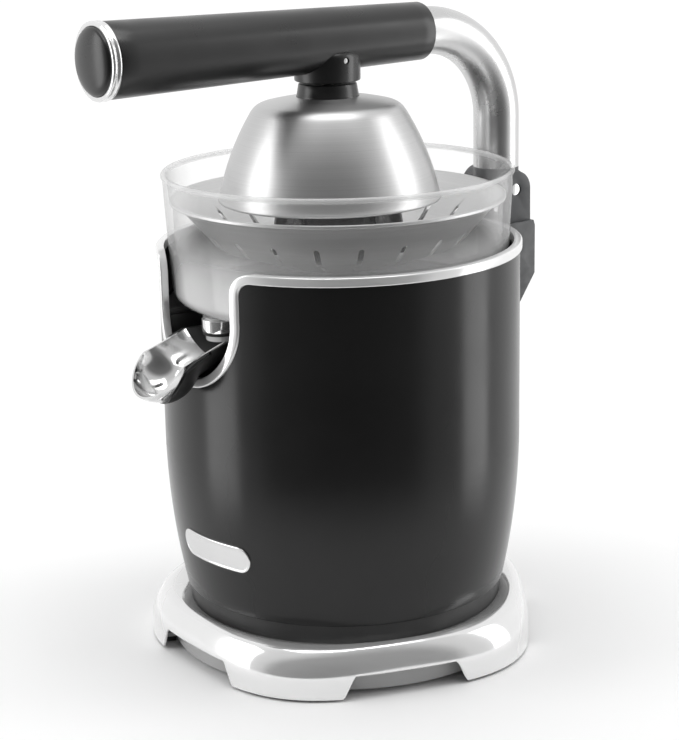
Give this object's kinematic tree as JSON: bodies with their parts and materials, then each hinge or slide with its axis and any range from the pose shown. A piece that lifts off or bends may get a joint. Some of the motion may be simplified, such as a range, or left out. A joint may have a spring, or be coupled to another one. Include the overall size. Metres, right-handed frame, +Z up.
{
  "type": "citrus press juicer",
  "caption": "Upright electric citrus press with a hinged lever arm, press dome, clear juice bowl, drip-stop spout and round chrome foot.",
  "frame": {"origin": "centre of the middle rubber pad, on the table surface under the body axis", "axes": "+Z up along the body axis; -Y is the front, where the spout is; +X is to the right of the spout seen from behind; the lever hinge is at +Y"},
  "size_m": [0.215, 0.2774, 0.355],
  "materials": {
    "foot_chrome": "polished chrome plating",
    "trim_chrome": "bright chrome plating",
    "ring_chrome": "polished chrome",
    "badge_silver": "satin silver plating, blank face",
    "body_black": "high gloss black",
    "grip_black": "satin gloss black",
    "dark_plastic": "fine matte black",
    "tray_grey": "light grey moulded plastic",
    "frame_grey": "dark grey glass-filled plastic",
    "bracket_grey": "matte dark grey paint on a casting",
    "pad_rubber": "soft black rubber",
    "screw_steel": "bright zinc plated steel",
    "shaft_steel": "ground steel",
    "tube_steel": "satin stainless tube",
    "dome_steel": "stainless, brushed round its axis",
    "spout_steel": "polished stainless",
    "strainer_steel": "satin stainless sheet",
    "bowl_clear": "clear polycarbonate",
    "bushing_bronze": "sintered bronze",
    "gear_nylon": "natural nylon",
    "motor_steel": "zinc plated steel can",
    "winding_copper": "lacquered copper windings on laminations",
    "reamer_black": "smooth dark plastic"
  },
  "bodies": {
    "stand": {"base_shroud": "foot_chrome", "base_tray": "tray_grey", "foot_pads": "pad_rubber", "tray_screws": "screw_steel", "neck_ring": "dark_plastic", "body_shell": "body_black", "shell_trim": "trim_chrome", "badge": "badge_silver", "cord_gland": "dark_plastic", "body_deck": "dark_plastic", "spout_bay": "dark_plastic", "spout_pin": "shaft_steel", "juice_bowl": "bowl_clear", "outlet_seal": "pad_rubber", "outlet_ring": "ring_chrome", "strainer": "strainer_steel", "gearbox_plate": "frame_grey", "gearbox_cover": "frame_grey", "cover_screws": "screw_steel", "motor_can": "motor_steel", "motor_cap": "motor_steel", "lower_bushing": "bushing_bronze", "upper_bushing": "bushing_bronze", "idler_axle": "shaft_steel", "start_switch": "dark_plastic", "press_spring": "shaft_steel", "hinge_bracket": "bracket_grey", "hinge_pin": "shaft_steel", "bracket_screws": "screw_steel"},
    "arm": {"arm_tube": "tube_steel", "arm_knuckle": "bracket_grey", "grip": "grip_black", "grip_ring": "ring_chrome", "grip_cap": "grip_black", "neck_socket": "grip_black", "neck_pin": "shaft_steel"},
    "press": {"dome_stem": "shaft_steel", "dome_collar": "grip_black", "press_dome": "dome_steel"},
    "spout": {"spout_chute": "spout_steel", "spout_cradle": "dark_plastic"},
    "drive": {"thrust_plate": "shaft_steel"},
    "reamer": {"drive_shaft": "shaft_steel", "output_gear": "gear_nylon", "reamer_cone": "reamer_black"},
    "idler": {"idler_gear": "gear_nylon"},
    "rotor": {"motor_shaft": "shaft_steel", "armature": "winding_copper", "cooling_fan": "dark_plastic"}
  },
  "joints": [
    {"name": "arm_hinge", "type": "hinge", "parent": "stand", "child": "arm", "pos_m": [0, 0.1128, 0.2422], "axis": [-1, 0, 0], "range_deg": [0, 75]},
    {"name": "dome_tilt", "type": "hinge", "parent": "arm", "child": "press", "pos_m": [0, -0.0055, 0.325], "axis": [1, 0, 0], "range_deg": [-3, 3]},
    {"name": "spout_lift", "type": "hinge", "parent": "stand", "child": "spout", "pos_m": [0, -0.08, 0.1705], "axis": [-1, 0, 0], "range_deg": [0, 25]},
    {"name": "drive_press", "type": "slide", "parent": "stand", "child": "drive", "axis": [0, 0, -1], "range_m": [0, 0.0025], "stiffness_N_per_m": 1500, "springref_m": -0.006, "deforming": ["press_spring"]},
    {"name": "reamer_spin", "type": "hinge", "parent": "drive", "child": "reamer", "pos_m": [0, 0, 0.2], "axis": [0, 0, 1], "continuous": true},
    {"name": "idler_spin", "type": "hinge", "parent": "stand", "child": "idler", "pos_m": [0, 0.031, 0.13], "axis": [0, 0, 1], "continuous": true},
    {"name": "rotor_spin", "type": "hinge", "parent": "stand", "child": "rotor", "pos_m": [-0.027, 0.031, 0.1], "axis": [0, 0, 1], "continuous": true}
  ],
  "couplings": [
    {"joint": "idler_spin", "follows": "reamer_spin", "ratio": -3.4286},
    {"joint": "rotor_spin", "follows": "reamer_spin", "ratio": 9.7959}
  ]
}
